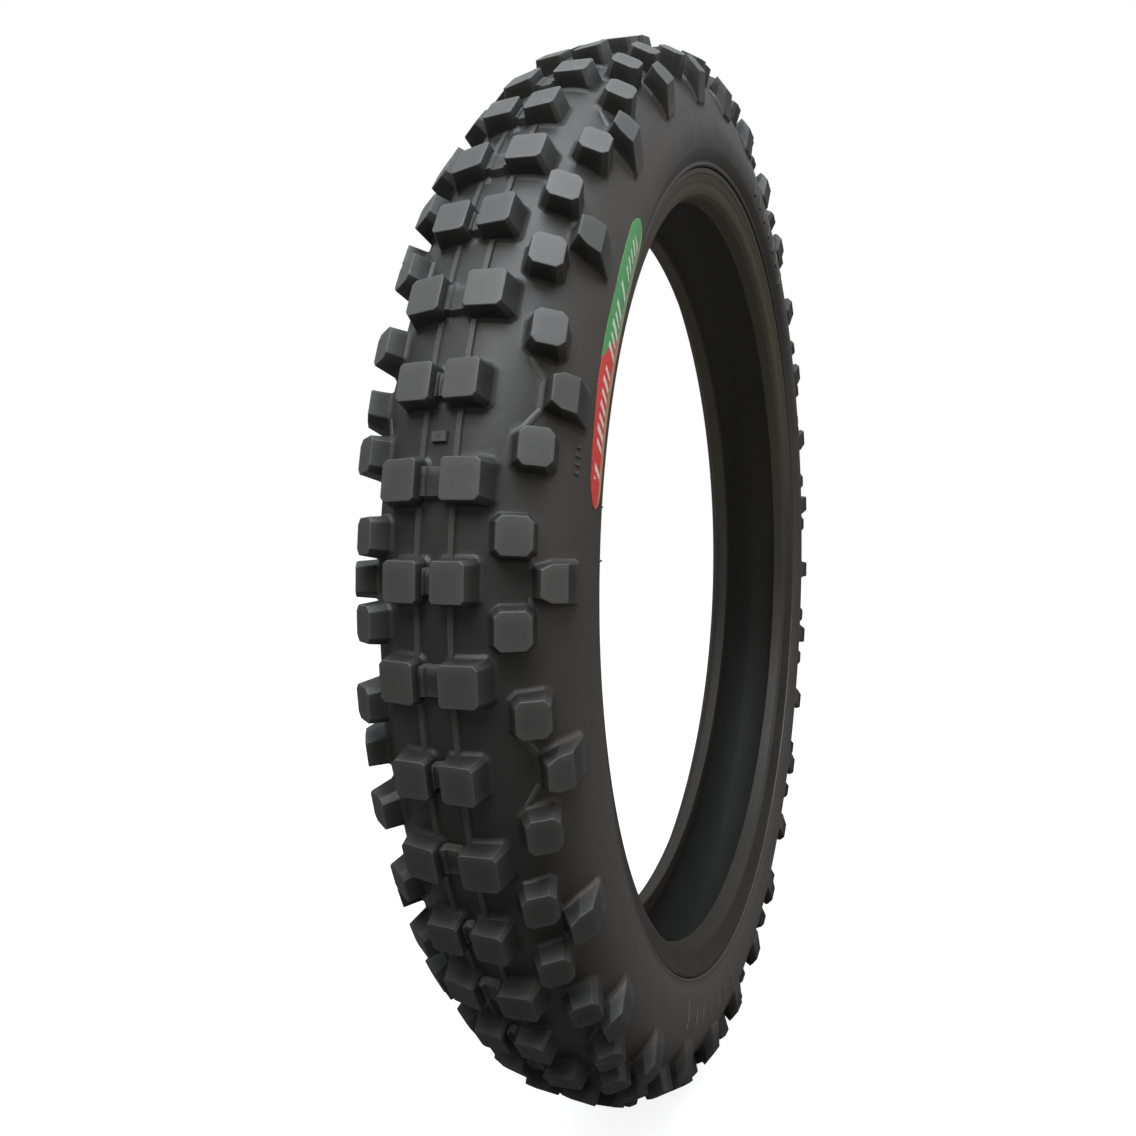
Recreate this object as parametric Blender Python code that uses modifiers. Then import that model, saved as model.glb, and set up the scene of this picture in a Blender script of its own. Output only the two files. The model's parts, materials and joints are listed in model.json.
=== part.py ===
"""Off-road motorcycle tyre, 18-inch bead, bias-ply construction, tube type.

The origin is at the centre of the tyre, the axle lies along Y and +Z is up.
The left side of the tyre is +Y and the right side is -Y.  Angles round the tyre
start at -X and grow towards +Z.  Sizes are in millimetres and become metres as
meshes are built.  Section points are (y, r): sideways place and radius.
"""
import bpy
import bmesh
import math
from mathutils import Matrix, Vector

MM = 0.001
FULL_TURN = 2.0 * math.pi

# ---------------------------------------------------------------- facets
ROWS = 56                      # rows of centre blocks around the tyre
PITCH = FULL_TURN / ROWS       # angle of one row
FACETS_OUTER = ROWS            # flats round the tread, sidewalls and rim strips
FACETS_CORE = ROWS // 2        # flats round the plies, breakers and bead cores

# ---------------------------------------------------------------- layers
GAP = 0.3                      # clearance kept between neighbouring pieces
PLY = 0.9                      # thickness of a nylon body ply
BREAKER = 0.8                  # thickness of a breaker ply
CUSHION = 0.8                  # thickness of the undertread gum
LINER = 0.8                    # thickness of the inner skin
FLIPPER = 0.6                  # thickness of the cloth round a bead core
OUTER_BREAKER_REACH = 13.6     # slant length of the outer breaker past CASING[0]

# ---------------------------------------------------------------- sections (y, r)
# outer face of the outer body ply, crown to bead
CASING = [
    (11.0, 294.2), (24.5, 286.6), (35.2, 274.6),
    (39.3, 260.5), (33.9, 245.4), (33.7, 234.9),
]
CASING_SHARED = 4              # casing points the inner ply and liner also follow

# bottom of the tread pattern, crown to edge
TREAD_BASE = [(11.0, 300.8), (21.5, 296.9), (32.4, 288.4), (38.14, 279.38)]
# underside of the tread, over the cushion and down to its edge
TREAD_UNDER = [(12.1, 298.4), (27.5, 289.7), (27.3, 285.1), (34.8, 276.9)]

# outer face of a sidewall, tread edge to rim line
WALL_FACE = [
    (38.29, 278.93), (41.2, 270.2), (42.1, 261.8),
    (40.2, 250.8), (38.3, 246.2), (38.1, 243.9),
]
# back of a sidewall, rim line to tread edge, clear of the flats of the body ply
WALL_BACK = [(35.3, 243.8), (39.85, 259.0), (39.7, 260.7), (35.65, 274.9), (34.95, 276.45)]

# middle of the inner body ply round the bead core, cavity side to turn-up end
TURN_UP = [
    (31.0, 247.6), (24.05, 238.2), (24.05, 232.45),
    (31.95, 232.45), (32.05, 244.9), (33.4, 249.3),
]
LINER_END = (26.4, 241.4)      # last point of the ply middle that the liner follows

# flange face, heel, bead base, toe, cavity side and back
RIM_STRIP = [
    (35.5, 243.4), (35.5, 234.0), (34.3, 230.5), (31.6, 228.6), (21.8, 227.5), (22.2, 237.6),
    (23.2, 237.6), (23.3, 229.2), (32.6, 230.0), (34.15, 232.6), (34.15, 243.4),
]
BEAD_WIRE = [(25.7, 234.1), (30.3, 234.1), (30.3, 239.1), (25.7, 239.1)]
FILLER = [(26.1, 239.4), (30.9, 239.4), (31.1, 243.2), (31.5, 246.6)]
FLIPPER_MID = [(25.1, 237.6), (25.1, 233.5), (30.9, 233.5), (30.9, 239.0)]

# ---------------------------------------------------------------- tread blocks
CROWN_BASE = TREAD_BASE[0][1]
KNOB_HEIGHT = 8.0              # block height above the base
TOP_RADIUS = CROWN_BASE + KNOB_HEIGHT
EMBED = 1.2                    # depth the centre blocks and bars run into the base

# centre blocks: even rows are narrow, odd rows wide
NARROW_IN, NARROW_OUT = 2.7, 16.0     # sideways extent
WIDE_IN, WIDE_OUT = 5.0, 19.6
NARROW_LEN = 14.4                     # length round the tyre
WIDE_LEN = NARROW_LEN + 0.4
WIDE_DROP = 0.9                       # wide top centres below TOP_RADIUS
WIDE_TILT = math.radians(7.0)
CENTRE_CORNER = 2.1                   # clip of the outer corners
CENTRE_DRAFT = math.radians(4.0)

# shoulder and edge blocks by section: inner and outer corner of the top, then
# inner and outer corner of the foot sunk in the tread base
SHOULDER_A = [(24.8, 304.4), (35.6, 297.8), (19.3, 296.5), (30.8, 288.0)]
SHOULDER_B = [(29.6, 301.2), (39.9, 294.6), (23.7, 293.6), (34.3, 283.6)]
EDGE = [(37.6, 295.7), (43.7, 286.8), (30.1, 288.6), (37.3, 280.3)]
SHOULDER_LEN, SHOULDER_CORNER = 13.5, 2.9
EDGE_LEN, EDGE_CORNER = 13.4, 3.2
SIDE_DRAFT = math.radians(5.0)
SHOULDER_A_ROWS = 0.463               # rows either side of row 0 mod 4
SHOULDER_B_ROWS = 0.64                # rows either side of row 2 mod 4

# low bars joining the two centre blocks of a row
BRIDGE_HEIGHT = 3.4
BRIDGE_OVERLAP = 1.5                  # run of a bar past the inner edge of each block top
BRIDGE_NARROW_LEN, BRIDGE_WIDE_LEN = 10.6, 13.0
BRIDGE_DRAFT = math.radians(3.0)

# ---------------------------------------------------------------- sidewall transfer
LABEL_FLATS = 5                       # flats of the sidewall under the transfer
LABEL_THICK = 0.35
LABEL_LAY = WALL_FACE[1:3] + [(41.02, 255.5)]    # wall face it lies on (y, r)
LABEL_FROM, LABEL_TO = math.radians(6.0), math.radians(35.0)
LABEL_INNER, LABEL_OUTER = 255.8, 268.6          # edge radii at mid length
LABEL_STEPS = 12                      # steps along each edge
LABEL_END_DROP = 1.2                  # fall of the outer edge at its ends
LABEL_DROP_POWER = 4                  # how late the outer edge falls
LABEL_BOW_POWERS = 2.2, 0.8           # fullness of the inner edge: middle, ends
LABEL_CUT = -60.0, -30.0              # y extent of the outline cutter


# ---------------------------------------------------------------- scene
for old_object in list(bpy.data.objects):
    bpy.data.objects.remove(old_object, do_unlink=True)
for old_mesh in list(bpy.data.meshes):
    bpy.data.meshes.remove(old_mesh)

TYRE = bpy.data.collections.new("motorcycle_tire")
CUTTERS = bpy.data.collections.new("cutters")
bpy.context.scene.collection.children.link(TYRE)
bpy.context.scene.collection.children.link(CUTTERS)


# ---------------------------------------------------------------- materials
def material(name, colour, roughness, metallic=0.0):
    mat = bpy.data.materials.new(name)
    mat.use_nodes = True
    bsdf = mat.node_tree.nodes["Principled BSDF"]
    bsdf.inputs["Base Color"].default_value = (*colour, 1.0)
    bsdf.inputs["Roughness"].default_value = roughness
    bsdf.inputs["Metallic"].default_value = metallic
    return mat


TREAD_RUBBER = material("tread_rubber", colour=(0.035, 0.036, 0.038), roughness=0.62)
WALL_RUBBER = material("sidewall_rubber", colour=(0.042, 0.040, 0.038), roughness=0.55)
STRIP_RUBBER = material("rim_strip_rubber", colour=(0.030, 0.030, 0.031), roughness=0.50)
CUSHION_GUM = material("cushion_gum", colour=(0.060, 0.045, 0.035), roughness=0.70)
BREAKER_CORD = material("breaker_cord", colour=(0.22, 0.19, 0.14), roughness=0.80)
PLY_CORD = material("nylon_ply_cord", colour=(0.30, 0.27, 0.21), roughness=0.80)
LINER_RUBBER = material("liner_rubber", colour=(0.020, 0.020, 0.022), roughness=0.45)
BEAD_STEEL = material("bronzed_bead_steel", colour=(0.42, 0.30, 0.18), roughness=0.35,
                      metallic=1.0)
FILLER_RUBBER = material("filler_rubber", colour=(0.025, 0.025, 0.025), roughness=0.60)
FLIPPER_CLOTH = material("flipper_fabric", colour=(0.16, 0.15, 0.13), roughness=0.85)
TRANSFER_INK = material("transfer_ink", colour=(0.55, 0.07, 0.06), roughness=0.40)


# ---------------------------------------------------------------- section helpers
def left_normal(start, end):
    dy, dr = end[0] - start[0], end[1] - start[1]
    length = math.hypot(dy, dr)
    return (-dr / length, dy / length)


def offset(path, distance):
    """Parallel copy of an open path at a distance to its left, mitred."""
    moved = []
    for i, point in enumerate(path):
        normals = []
        if i > 0:
            normals.append(left_normal(path[i - 1], point))
        if i < len(path) - 1:
            normals.append(left_normal(point, path[i + 1]))
        ny = sum(n[0] for n in normals) / len(normals)
        nr = sum(n[1] for n in normals) / len(normals)
        square = ny * ny + nr * nr
        moved.append((point[0] + distance * ny / square, point[1] + distance * nr / square))
    return moved


def point_towards(start, end, distance):
    """Point on the line from start to end at a distance from start."""
    dy, dr = end[0] - start[0], end[1] - start[1]
    part = distance / math.hypot(dy, dr)
    return (start[0] + part * dy, start[1] + part * dr)


def mirror_y(points):
    return [(-y, r) for y, r in points]


def whole(half):
    """Full path from the -Y side to the +Y side of a half path."""
    return mirror_y(reversed(half)) + list(half)


def strip(path, near, far):
    """Closed section between two parallels of a path."""
    return offset(path, far) + offset(path, near)[::-1]


# ---------------------------------------------------------------- bodies
def to_mesh(bm, name):
    mesh = bpy.data.meshes.new(name)
    bm.to_mesh(mesh)
    bm.free()
    return mesh


def link(mesh, name, collection, mat=None):
    ob = bpy.data.objects.new(name, mesh)
    collection.objects.link(ob)
    if mat is not None:
        mesh.materials.append(mat)
    return ob


def tidy_normals(ob):
    """Turn a closed body so its faces look outward."""
    bm = bmesh.new()
    bm.from_mesh(ob.data)
    bmesh.ops.recalc_face_normals(bm, faces=bm.faces)
    if bm.calc_volume(signed=True) < 0:
        bmesh.ops.reverse_faces(bm, faces=bm.faces)
    bm.to_mesh(ob.data)
    bm.free()


def apply_modifiers(ob):
    """Replace the mesh by its evaluated shape."""
    depsgraph = bpy.context.evaluated_depsgraph_get()
    depsgraph.update()
    mesh = bpy.data.meshes.new_from_object(ob.evaluated_get(depsgraph), depsgraph=depsgraph)
    ob.modifiers.clear()
    ob.data = mesh


def cap_ends(ob):
    """Close the two open ends of a part turn."""
    bm = bmesh.new()
    bm.from_mesh(ob.data)
    bmesh.ops.remove_doubles(bm, verts=bm.verts, dist=1e-6)
    rims = [e for e in bm.edges if len(e.link_faces) == 1]
    bmesh.ops.holes_fill(bm, edges=rims, sides=0)
    bm.to_mesh(ob.data)
    bm.free()


def on_tyre(y, radius, angle):
    """Point in metres at a sideways place, a radius and an angle round the tyre."""
    return (-radius * MM * math.cos(angle), y * MM, radius * MM * math.sin(angle))


def revolve(name, section, facets, mat, turn=FULL_TURN):
    """Closed section turned about the axle with the Screw modifier.

    It starts half a row off, so FACETS_OUTER flats are centred on the rows.
    """
    full = turn == FULL_TURN
    bm = bmesh.new()
    verts = [bm.verts.new(on_tyre(y, r, PITCH / 2)) for y, r in section]
    for start, end in zip(verts, verts[1:] + verts[:1]):
        bm.edges.new((start, end))
    if not full:
        bm.faces.new(verts)
    ob = link(to_mesh(bm, name), name, TYRE, mat)
    screw = ob.modifiers.new("turn", "SCREW")
    screw.axis = "Y"
    screw.angle = turn
    screw.steps = facets
    screw.render_steps = facets
    screw.screw_offset = 0.0
    screw.use_merge_vertices = full
    screw.merge_threshold = 1e-5
    screw.use_smooth_shade = False
    apply_modifiers(ob)
    if not full:
        cap_ends(ob)
    tidy_normals(ob)
    return ob


def boolean(target, cutter, operation):
    mod = target.modifiers.new(operation.lower(), "BOOLEAN")
    mod.operation = operation
    mod.solver = "EXACT"
    mod.object = cutter
    cutter.hide_render = True
    cutter.display_type = "WIRE"
    apply_modifiers(target)


# ---------------------------------------------------------------- block helpers
def frustum(length, width, height, draft, corner=0.0, clipped_side=0, foot=None):
    """Drafted block with its top face at z = 0.

    Local axes: x round the tyre, y sideways away from the centre line, z outward.
    clipped_side picks the upright edges to chamfer: -1 inner, +1 outer, 0 none.
    foot, if given, is the (y, z) of the inner and the outer edge of the foot.
    """
    bm = bmesh.new()
    bmesh.ops.create_cube(bm, size=1.0)
    spread = math.tan(draft) * height
    for v in bm.verts:
        low = v.co.z < 0
        inner = v.co.y < 0
        grow = spread if low else 0.0
        half_x = length * 0.5 + grow
        half_y = width * 0.5 + grow
        v.co = Vector((math.copysign(half_x, v.co.x), math.copysign(half_y, v.co.y),
                       -height if low else 0.0))
        if low and foot:
            v.co.y, v.co.z = foot[0] if inner else foot[1]
    uprights = []
    for e in bm.edges:
        first, second = e.verts
        upright = abs(first.co.z - second.co.z) > height * 0.5
        if upright and math.copysign(1, first.co.y) == clipped_side:
            uprights.append(e)
    if uprights:
        bmesh.ops.bevel(bm, geom=uprights, offset=corner, offset_type="OFFSET", segments=1,
                        profile=0.5, affect="EDGES", clamp_overlap=True)
    bmesh.ops.scale(bm, vec=(MM, MM, MM), verts=bm.verts)
    return to_mesh(bm, "block")


def centre_block(length, inner, outer):
    return frustum(length, outer - inner, KNOB_HEIGHT + EMBED, CENTRE_DRAFT,
                   corner=CENTRE_CORNER, clipped_side=1)


def section_block(corners, length, corner):
    """Block given by its section, and the (y, r, tilt) of its top centre."""
    (y_in, r_in), (y_out, r_out) = corners[:2]
    tilt = math.atan2(r_in - r_out, y_out - y_in)
    y, r = (y_in + y_out) / 2, (r_in + r_out) / 2
    foot = []
    for foot_y, foot_r in corners[2:]:
        dy, dr = foot_y - y, foot_r - r
        foot.append((dy * math.cos(tilt) - dr * math.sin(tilt),
                     dy * math.sin(tilt) + dr * math.cos(tilt)))
    mesh = frustum(length, math.hypot(y_out - y_in, r_out - r_in), KNOB_HEIGHT, SIDE_DRAFT,
                   corner=corner, clipped_side=-1, foot=foot)
    return mesh, (y, r, tilt)


def bridge_bar(length, block_inner):
    return frustum(length, 2 * (block_inner + BRIDGE_OVERLAP), BRIDGE_HEIGHT + EMBED,
                   BRIDGE_DRAFT)


def place(row, side, y, r, tilt):
    """Matrix of a block: row, side (+1 left, -1 right), top centre and tilt.

    A positive tilt turns the top towards the side; the right side is mirrored.
    """
    angle = row * PITCH
    outward = Vector((-math.cos(angle), 0.0, math.sin(angle)))
    around = Vector((math.sin(angle), 0.0, math.cos(angle)))
    across = Vector((0.0, float(side), 0.0))
    local_z = outward * math.cos(tilt) + across * math.sin(tilt)
    local_y = across * math.cos(tilt) - outward * math.sin(tilt)
    matrix = Matrix((around, local_y, local_z)).transposed().to_4x4()
    matrix.translation = outward * (r * MM) + across * (y * MM)
    return matrix


def gather(name, items):
    """One cutter made of many separate blocks, given as (mesh, matrix)."""
    bm = bmesh.new()
    for mesh, matrix in items:
        part = mesh.copy()
        part.transform(matrix)
        if matrix.determinant() < 0:
            part.flip_normals()
        bm.from_mesh(part)
        bpy.data.meshes.remove(part)
    return link(to_mesh(bm, name), name, CUTTERS)


# ---------------------------------------------------------------- tread
def build_knobs():
    narrow = centre_block(NARROW_LEN, NARROW_IN, NARROW_OUT)
    wide = centre_block(WIDE_LEN, WIDE_IN, WIDE_OUT)
    narrow_spot = ((NARROW_IN + NARROW_OUT) / 2, TOP_RADIUS, 0.0)
    wide_spot = ((WIDE_IN + WIDE_OUT) / 2, TOP_RADIUS - WIDE_DROP, WIDE_TILT)
    shoulder_a = section_block(SHOULDER_A, SHOULDER_LEN, SHOULDER_CORNER)
    shoulder_b = section_block(SHOULDER_B, SHOULDER_LEN, SHOULDER_CORNER)
    edge, edge_spot = section_block(EDGE, EDGE_LEN, EDGE_CORNER)

    blocks = []
    for row in range(ROWS):
        for side in (-1, 1):
            if row % 2:
                blocks.append((wide, place(row, side, *wide_spot)))
                continue
            blocks.append((narrow, place(row, side, *narrow_spot)))
            blocks.append((edge, place(row, side, *edge_spot)))
            shoulder, spot = shoulder_a if row % 4 == 0 else shoulder_b
            shift = SHOULDER_A_ROWS if row % 4 == 0 else SHOULDER_B_ROWS
            for way in (-1, 1):
                blocks.append((shoulder, place(row + way * shift, side, *spot)))
    return gather("tread_blocks", blocks)


def build_bridges():
    bars = (bridge_bar(BRIDGE_NARROW_LEN, NARROW_IN), bridge_bar(BRIDGE_WIDE_LEN, WIDE_IN))
    top = CROWN_BASE + BRIDGE_HEIGHT
    return gather("tread_bridges",
                  [(bars[row % 2], place(row, 1, 0.0, top, 0.0)) for row in range(ROWS)])


def build_tread():
    knobs = build_knobs()
    bridges = build_bridges()
    section = whole(TREAD_BASE) + whole(TREAD_UNDER)[::-1]
    tread = revolve("tread", section, FACETS_OUTER, TREAD_RUBBER)
    boolean(tread, bridges, "UNION")
    boolean(tread, knobs, "UNION")
    tidy_normals(tread)


# ---------------------------------------------------------------- layers
def build_crown_layers():
    """Breakers and cushion stacked outward from the casing, a gap under each."""
    crown = whole(CASING[:2])
    narrow_end = point_towards(CASING[0], CASING[1], OUTER_BREAKER_REACH)
    narrow_crown = whole([CASING[0], narrow_end])
    height = 0.0
    for name, path, thickness, mat in (
        ("breaker_ply_inner", crown, BREAKER, BREAKER_CORD),
        ("breaker_ply_outer", narrow_crown, BREAKER, BREAKER_CORD),
        ("undertread_cushion", crown, CUSHION, CUSHION_GUM),
    ):
        height += GAP
        revolve(name, strip(path, height, height + thickness), FACETS_CORE, mat)
        height += thickness


def build_plies_and_liner():
    casing = whole(CASING)
    revolve("body_ply_outer", strip(casing, -PLY, 0.0), FACETS_CORE, PLY_CORD)

    # middle of the inner ply under the casing, from the crown to the +Y side
    centre = len(CASING)
    shared = offset(casing, -(PLY + GAP + PLY / 2))[centre:centre + CASING_SHARED]
    ply_path = whole(shared + TURN_UP)
    revolve("body_ply_inner", strip(ply_path, -PLY / 2, PLY / 2), FACETS_CORE, PLY_CORD)

    liner_path = whole(shared + [TURN_UP[0], LINER_END])
    liner_top = -(PLY / 2 + GAP)
    revolve("inner_liner", strip(liner_path, liner_top - LINER, liner_top),
            FACETS_CORE, LINER_RUBBER)


# ---------------------------------------------------------------- sides and beads
def build_side(word, flip):
    """Sidewall, rim strip and bead parts of one side; flip maps +Y sections to it."""
    flipper = strip(FLIPPER_MID, -FLIPPER / 2, FLIPPER / 2)
    for name, section, facets, mat in (
        ("sidewall_", WALL_FACE + WALL_BACK, FACETS_OUTER, WALL_RUBBER),
        ("rim_strip_", RIM_STRIP, FACETS_OUTER, STRIP_RUBBER),
        ("bead_wire_", BEAD_WIRE, FACETS_CORE, BEAD_STEEL),
        ("bead_filler_", FILLER, FACETS_CORE, FILLER_RUBBER),
        ("bead_flipper_", flipper, FACETS_CORE, FLIPPER_CLOTH),
    ):
        revolve(name + word, flip(section), facets, mat)


# ---------------------------------------------------------------- transfer
def label_outline():
    """Outline of the transfer as (angle, radius).

    The outer edge is an arc about the axle that falls a little at its ends;
    the inner edge bows from it towards the axle.
    """
    fractions = [i / LABEL_STEPS for i in range(LABEL_STEPS + 1)]
    angles = [LABEL_FROM + (LABEL_TO - LABEL_FROM) * u for u in fractions]
    middle_power, end_power = LABEL_BOW_POWERS
    outline = []
    for u, angle in zip(fractions, angles):
        fall = LABEL_END_DROP * (2.0 * u - 1.0) ** LABEL_DROP_POWER
        outline.append((angle, LABEL_OUTER - fall))
    for i in range(LABEL_STEPS - 1, 0, -1):
        depth = (1.0 - abs(2.0 * fractions[i] - 1.0) ** middle_power) ** end_power
        outline.append((angles[i], LABEL_OUTER - (LABEL_OUTER - LABEL_INNER) * depth))
    return outline


def build_label_cutter():
    y_start, y_end = LABEL_CUT
    bm = bmesh.new()
    face = bm.faces.new([bm.verts.new(on_tyre(y_start, r, angle))
                         for angle, r in label_outline()])
    pushed = bmesh.ops.extrude_face_region(bm, geom=[face])
    bmesh.ops.translate(bm, vec=(0.0, (y_end - y_start) * MM, 0.0),
                        verts=[g for g in pushed["geom"] if isinstance(g, bmesh.types.BMVert)])
    bmesh.ops.recalc_face_normals(bm, faces=bm.faces)
    return link(to_mesh(bm, "label_outline"), "label_outline", CUTTERS)


def build_label():
    """Transfer a gap clear of the outer face of the right sidewall."""
    section = strip(mirror_y(LABEL_LAY), -GAP, -(GAP + LABEL_THICK))
    label = revolve("sidewall_label", section, LABEL_FLATS, TRANSFER_INK,
                    turn=LABEL_FLATS * PITCH)
    boolean(label, build_label_cutter(), "INTERSECT")
    tidy_normals(label)


build_tread()
build_crown_layers()
build_plies_and_liner()
build_side("left", list)
build_side("right", mirror_y)
build_label()
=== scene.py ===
"""Off-road motorcycle tyre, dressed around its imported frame.

The tyre is centred on the origin with its axle along Y and +Z up. Row 0 of the tread lies at -X and
rows count from there towards +Z. Left is +Y, right is -Y. Shapes are worked out in millimetres and
turned into metres when a mesh is made.

Places on the tyre are given three ways:
    row   angle round the tyre, counted in rows of centre blocks
    arc   length along the half section from the centre line, positive towards +Y
    lift  height above the face of the section
"""

import json
import math
import random

import bpy
import bmesh
import numpy as np
from mathutils import Matrix, Vector
from mathutils.geometry import delaunay_2d_cdt

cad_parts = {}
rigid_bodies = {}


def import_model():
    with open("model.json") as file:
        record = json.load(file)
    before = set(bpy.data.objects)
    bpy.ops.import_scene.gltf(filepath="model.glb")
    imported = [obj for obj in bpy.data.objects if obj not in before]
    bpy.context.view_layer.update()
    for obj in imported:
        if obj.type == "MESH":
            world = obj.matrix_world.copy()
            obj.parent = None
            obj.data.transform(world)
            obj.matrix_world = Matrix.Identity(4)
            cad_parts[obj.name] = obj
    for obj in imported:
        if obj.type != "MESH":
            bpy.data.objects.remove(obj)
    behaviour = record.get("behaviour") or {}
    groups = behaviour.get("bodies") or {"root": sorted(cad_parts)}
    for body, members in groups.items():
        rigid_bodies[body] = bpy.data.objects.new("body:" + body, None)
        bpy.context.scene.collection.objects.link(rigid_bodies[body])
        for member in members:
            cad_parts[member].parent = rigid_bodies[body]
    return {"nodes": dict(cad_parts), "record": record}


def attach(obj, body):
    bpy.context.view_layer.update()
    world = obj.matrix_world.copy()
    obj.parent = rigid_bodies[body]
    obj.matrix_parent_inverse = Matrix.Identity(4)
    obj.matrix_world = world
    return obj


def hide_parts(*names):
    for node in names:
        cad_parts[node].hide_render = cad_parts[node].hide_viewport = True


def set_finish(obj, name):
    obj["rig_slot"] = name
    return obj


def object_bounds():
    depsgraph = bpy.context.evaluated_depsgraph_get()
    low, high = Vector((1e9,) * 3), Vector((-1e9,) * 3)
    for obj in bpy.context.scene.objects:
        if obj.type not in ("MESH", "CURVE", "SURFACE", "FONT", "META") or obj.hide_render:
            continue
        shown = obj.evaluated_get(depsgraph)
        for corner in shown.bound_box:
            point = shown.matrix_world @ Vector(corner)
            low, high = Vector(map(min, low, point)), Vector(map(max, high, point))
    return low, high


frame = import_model()
CAD_LO, CAD_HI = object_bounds()
MM = 0.001
TAU = 2.0 * math.pi

# ------------------------------------------------------------------ dimensions (mm)
ROWS = 56
PITCH = TAU / ROWS                       # angle of one row, radians
DEG_PER_ROW = 360.0 / ROWS
PERIOD_ROWS = 4                          # the tread pattern repeats every four rows
PERIODS = ROWS // PERIOD_ROWS
PLAN_SCALE = PITCH * 300.0               # length of one row in the flat plan of the tread
SIDES = ((1, "left"), (-1, "right"))

# facets round the turned rings
OUTER_FACETS = 448
LINER_FACETS = 336
HIDDEN_FACETS = 224

# outer face of the tyre without its blocks, crown to rim line (y, r)
FACE = [
    (0.0, 301.25), (5.5, 301.15), (11.0, 300.6), (16.5, 299.2), (21.5, 296.9),
    (27.0, 293.3), (31.8, 289.0), (35.6, 284.3), (38.2, 279.8), (40.3, 274.1),
    (41.5, 267.9), (42.0, 261.8), (41.5, 255.8), (40.2, 250.6), (38.9, 247.4),
]
# underside of the tread, crown to edge (y, r)
TREAD_UNDER = [(12.0, 298.2), (27.2, 289.6), (27.3, 285.2), (35.0, 277.0), (38.9, 269.6)]
# outer face of the casing, crown to bead (y, r)
CASING = [
    (0.0, 295.2), (6.0, 294.9), (11.0, 294.1), (17.8, 291.0), (24.5, 286.4),
    (30.5, 280.6), (35.0, 274.4), (38.2, 267.4), (39.15, 260.4), (37.9, 253.6),
    (35.6, 249.2), (33.9, 244.8), (33.7, 234.9),
]


# ------------------------------------------------------------------ section profile
def run_length(x, y):
    """Length run along a polyline up to each of its points."""
    return np.r_[0.0, np.cumsum(np.hypot(np.diff(x), np.diff(y)))]


def natural_cubic(knots, values, at):
    """Natural cubic spline through the values, read at the given places."""
    count = len(knots)
    gaps = np.diff(knots)
    system = np.zeros((count, count))
    target = np.zeros(count)
    system[0, 0] = system[-1, -1] = 1.0
    for i in range(1, count - 1):
        system[i, i - 1:i + 2] = gaps[i - 1], 2 * (gaps[i - 1] + gaps[i]), gaps[i]
        target[i] = 6 * ((values[i + 1] - values[i]) / gaps[i]
                         - (values[i] - values[i - 1]) / gaps[i - 1])
    bend = np.linalg.solve(system, target)
    k = np.clip(np.searchsorted(knots, at, side="right") - 1, 0, count - 2)
    gap = gaps[k]
    ahead = knots[k + 1] - at
    behind = at - knots[k]
    return (bend[k] * ahead ** 3 / (6 * gap) + bend[k + 1] * behind ** 3 / (6 * gap)
            + (values[k] / gap - bend[k] * gap / 6) * ahead
            + (values[k + 1] / gap - bend[k + 1] * gap / 6) * behind)


class Profile:
    """Smooth section through a half outline and its mirror, measured by arc length."""

    SAMPLES = 6001

    def __init__(self, half):
        half = np.array(half, float)
        knots_yr = np.vstack([half[1:][::-1] * [-1, 1], half])
        chord = run_length(*knots_yr.T)
        at = np.linspace(0, chord[-1], self.SAMPLES)
        self.y, self.r = (natural_cubic(chord, knots_yr[:, i], at) for i in range(2))
        arc = run_length(self.y, self.r)
        self.arc = arc - arc[-1] / 2.0
        slope_y = np.gradient(self.y, self.arc)
        slope_r = np.gradient(self.r, self.arc)
        length = np.hypot(slope_y, slope_r)
        self.normal_y, self.normal_r = -slope_r / length, slope_y / length

    def at(self, arc, lift=0.0):
        """(y, r) at an arc length and a height above the face."""
        y = np.interp(arc, self.arc, self.y) + lift * np.interp(arc, self.arc, self.normal_y)
        r = np.interp(arc, self.arc, self.r) + lift * np.interp(arc, self.arc, self.normal_r)
        return y, r

    def points(self, arc, lift):
        return np.stack(self.at(arc, lift), -1)

    def radius(self, arc):
        return np.interp(arc, self.arc, self.r)

    def arc_at_radius(self, r):
        """Arc length on the +Y side where the section passes radius r."""
        half = self.arc > 0
        return float(np.interp(-r, -self.r[half], self.arc[half]))

    def nearest_arc(self, y, r):
        """Arc length on the +Y side of the point nearest to (y, r)."""
        distance = np.hypot(self.y - y, self.r - r)
        distance[self.arc < 0] = 1e9
        return float(self.arc[int(np.argmin(distance))])


FACE_P = Profile(FACE)
CASE_P = Profile(CASING)
TREAD_EDGE = FACE_P.arc_at_radius(270.6)     # where tread meets sidewall


def ring_point(row, y, r):
    """Point in space at a row angle, sideways y and radius r."""
    angle = np.asarray(row) * PITCH
    return np.stack([-r * np.cos(angle), y + 0 * angle, r * np.sin(angle)], -1)


def skin(row, arc, lift=0.0):
    """Point on, or above, the outer face."""
    return ring_point(row, *FACE_P.at(arc, lift))


# ------------------------------------------------------------------ mesh helpers
class Batch:
    """Several closed parts gathered into one mesh."""

    def __init__(self):
        self.verts = []
        self.faces = []

    def add(self, part, mirror=False):
        verts, faces = part
        if mirror:
            verts = verts * [1, -1, 1]
            faces = [f[::-1] for f in faces]
        base = len(self.verts)
        self.verts.extend(verts)
        self.faces.extend(tuple(base + i for i in f) for f in faces)


def make(name, verts, faces, slot_name, attributes=None):
    """Object from vertices in mm and faces; it rides on the tyre."""
    mesh = bpy.data.meshes.new(name)
    mesh.from_pydata((np.asarray(verts, float) * MM).tolist(), [],
                     [tuple(int(i) for i in f) for f in faces])
    mesh.validate()
    mesh.update()
    for key, values in (attributes or {}).items():
        attribute = mesh.attributes.new(key, "FLOAT", "POINT")
        attribute.data.foreach_set("value", np.asarray(values, np.float32))
    ob = bpy.data.objects.new(name, mesh)
    bpy.context.scene.collection.objects.link(ob)
    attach(ob, "root")
    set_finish(ob, slot_name)
    return ob


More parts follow.
